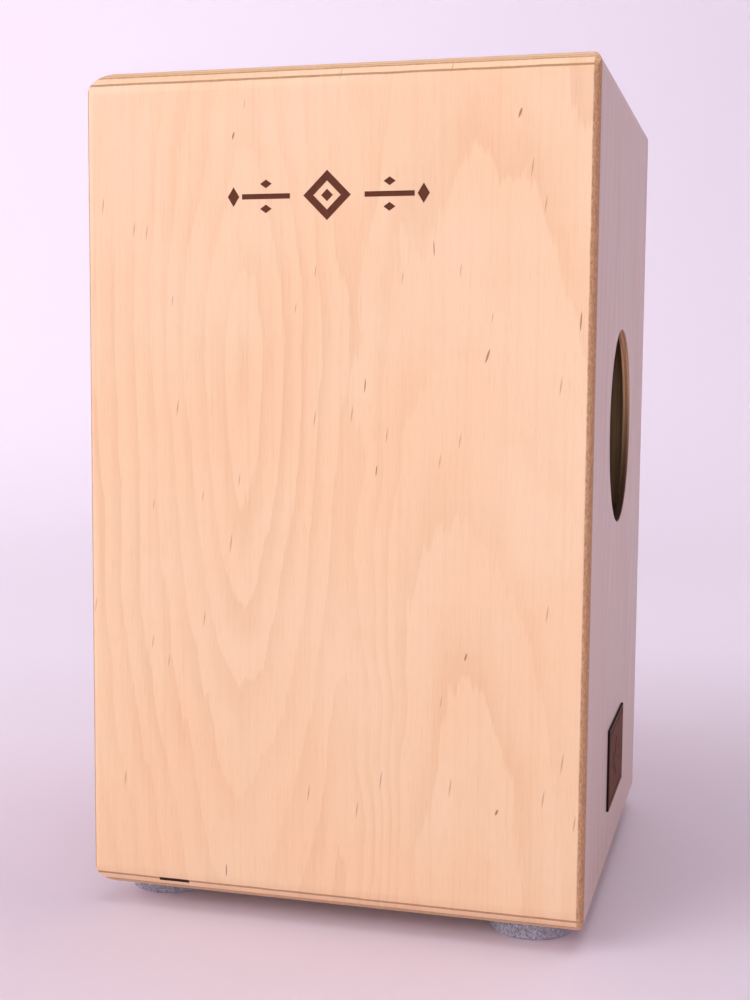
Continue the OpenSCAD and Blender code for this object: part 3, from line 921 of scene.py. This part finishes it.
class CAJON_OT_stage(Operator):
    """Make the studio: a pale bowl-shaped floor, soft lights and the camera"""
    bl_idname = "cajon.stage"
    bl_label = "Studio"
    bl_options = {"REGISTER", "UNDO"}

    def floor(self, stage):
        """A floor that curves up into a low round wall, far from the object."""
        start_clean()
        floor_radius, curve_radius, wall = 1.7, 3.0, 1.0
        bpy.ops.mesh.primitive_circle_add(vertices=128, radius=floor_radius, fill_type="NGON")
        bowl = bpy.context.object
        bpy.ops.object.mode_set(mode="EDIT")
        bpy.ops.mesh.select_all(action="SELECT")
        bpy.ops.mesh.inset(thickness=floor_radius - 0.5)
        bpy.ops.mesh.select_all(action="DESELECT")
        bpy.ops.object.mode_set(mode="OBJECT")
        for vertex in bowl.data.vertices:
            vertex.select = vertex.co.length > floor_radius - 0.01
        for edge in bowl.data.edges:
            edge.select = all(bowl.data.vertices[i].select for i in edge.vertices)
        bpy.ops.object.mode_set(mode="EDIT")
        bpy.ops.mesh.select_mode(type="EDGE")
        steps = 18
        reach = floor_radius
        for index in range(1, steps + 1):
            angle = math.pi / 2 * index / steps
            before = math.pi / 2 * (index - 1) / steps
            rise = curve_radius * (math.cos(before) - math.cos(angle))
            wider = floor_radius + curve_radius * math.sin(angle)
            bpy.ops.mesh.extrude_edges_move(TRANSFORM_OT_translate={"value": (0, 0, rise)})
            bpy.ops.transform.resize(value=(wider / reach, wider / reach, 1), center_override=(0, 0, 0))
            reach = wider
        bpy.ops.mesh.extrude_edges_move(TRANSFORM_OT_translate={"value": (0, 0, wall)})
        bpy.ops.object.mode_set(mode="OBJECT")
        bpy.ops.object.shade_smooth()
        s = Shader("studio_paper")
        tooth = s.noise(s.place, 900.0, 2.0)
        away = s.math("SQRT", s.math("ADD", s.math("POWER", s.x, 2.0), s.math("POWER", s.y, 2.0)))
        # Painted shadow: the floor is painted darker round the object.
        paper = s.mix(s.step(away, 0.2, 0.85), stage.paper_near_shade, stage.paper)
        # Painted light: the wall glows by its own emission, strongest to the left and fading to the right.
        s.set(Base_Color=s.mix(s.step(tooth, 0.3, 0.7, 0.0, 0.03), paper, (0.9, 0.85, 0.9)), Roughness=0.9,
              Emission_Color=stage.paper,
              Emission_Strength=s.math("MULTIPLY", s.step(away, 0.5, 3.2, 0.0, stage.glow),
                                       s.step(s.x, -3.0, 2.4, 1.6, 0.1)))
        settle("studio_floor", s.material)

    def soft_light(self, name, place, target, size, power, colour):
        """A square soft light at place that points at target."""
        data = bpy.data.lights.new(name, "AREA")
        data.shape = "SQUARE"
        data.size = size
        data.energy = power
        data.color = colour
        lamp = bpy.data.objects.new(name, data)
        bpy.context.collection.objects.link(lamp)
        lamp.visible_camera = False
        lamp.location = place
        lamp.rotation_euler = (Vector(target) - Vector(place)).to_track_quat("-Z", "Y").to_euler()

    def camera(self, stage):
        """Looks a little left and down from in front of the right-hand half."""
        data = bpy.data.cameras.new("camera")
        data.lens = stage.lens
        data.clip_start = 0.01
        data.clip_end = 50
        camera = bpy.data.objects.new("camera", data)
        bpy.context.collection.objects.link(camera)
        turn = Matrix.Rotation(CAMERA_TURN, 4, "Z")
        tilt = Matrix.Rotation(math.pi / 2 - CAMERA_DIP, 4, "X")
        roll = Matrix.Rotation(CAMERA_ROLL, 4, "Z")
        camera.matrix_world = Matrix.Translation(CAMERA_PLACE) @ turn @ tilt @ roll
        bpy.context.scene.camera = camera

    def execute(self, context):
        stage = context.scene.cajon_stage
        scene = context.scene
        scene.view_settings.view_transform = "Standard"
        world = bpy.data.worlds.new("surround")
        world.use_nodes = True
        background = world.node_tree.nodes["Background"]
        background.inputs["Color"].default_value = (*stage.sky, 1)
        background.inputs["Strength"].default_value = stage.sky_strength
        scene.world = world
        middle = (0, 0, 0.25)
        self.floor(stage)
        white = (1.0, 1.0, 1.0)
        self.soft_light("key", (-2.2, -2.8, 2.4), middle, 2.5, stage.key_power, white)
        self.soft_light("left_fill", (-3.2, -0.6, 1.6), middle, 2.0, stage.key_power * 0.24, white)
        self.soft_light("front_fill", (0.45, -2.8, 0.44), middle, 0.8, stage.key_power * 0.32, white)
        self.soft_light("top_fill", (0.8, 0.5, 3.3), middle, 2.0, stage.key_power * 0.5, white)
        self.soft_light("wall_light", (-0.3, -0.8, 3.7), (0, 4.4, 1.6), 2.0, stage.key_power * 0.65, white)
        self.camera(stage)
        return {"FINISHED"}


class CAJON_PT_finish(Panel):
    """Sidebar panel with every step of the finish and its settings"""
    bl_idname = "CAJON_PT_finish"
    bl_label = "Cajon"
    bl_space_type = "VIEW_3D"
    bl_region_type = "UI"
    bl_category = "Cajon"

    def draw(self, context):
        layout = self.layout
        for step in STEPS:
            layout.operator(step.bl_idname, text=step.bl_label)
        for key in SETTINGS:
            box = layout.box()
            group = getattr(context.scene, key)
            for name in group.__annotations__:
                box.prop(group, name)


STEPS = (
    CAJON_OT_front,
    CAJON_OT_shell,
    CAJON_OT_battens,
    CAJON_OT_snare_bar,
    CAJON_OT_snare_wires,
    CAJON_OT_felt_feet,
    CAJON_OT_plaque,
    CAJON_OT_stage,
)
SETTINGS = {
    "cajon_wood": CajonWoodSettings,
    "cajon_snares": CajonSnareSettings,
    "cajon_trim": CajonTrimSettings,
    "cajon_stage": CajonStageSettings,
}


def register():
    for group in SETTINGS.values():
        bpy.utils.register_class(group)
    for key, group in SETTINGS.items():
        setattr(bpy.types.Scene, key, PointerProperty(type=group))
    for step in STEPS:
        bpy.utils.register_class(step)
    bpy.utils.register_class(CAJON_PT_finish)


def unregister():
    bpy.utils.unregister_class(CAJON_PT_finish)
    for step in reversed(STEPS):
        bpy.utils.unregister_class(step)
    for key in SETTINGS:
        delattr(bpy.types.Scene, key)
    for group in reversed(SETTINGS.values()):
        bpy.utils.unregister_class(group)


def main():
    register()
    bpy.ops.cajon.front()
    bpy.ops.cajon.shell()
    bpy.ops.cajon.battens()
    bpy.ops.cajon.snare_bar()
    bpy.ops.cajon.snare_wires()
    bpy.ops.cajon.felt_feet()
    bpy.ops.cajon.plaque()
    bpy.ops.cajon.stage()


if __name__ == "__main__":
    main()
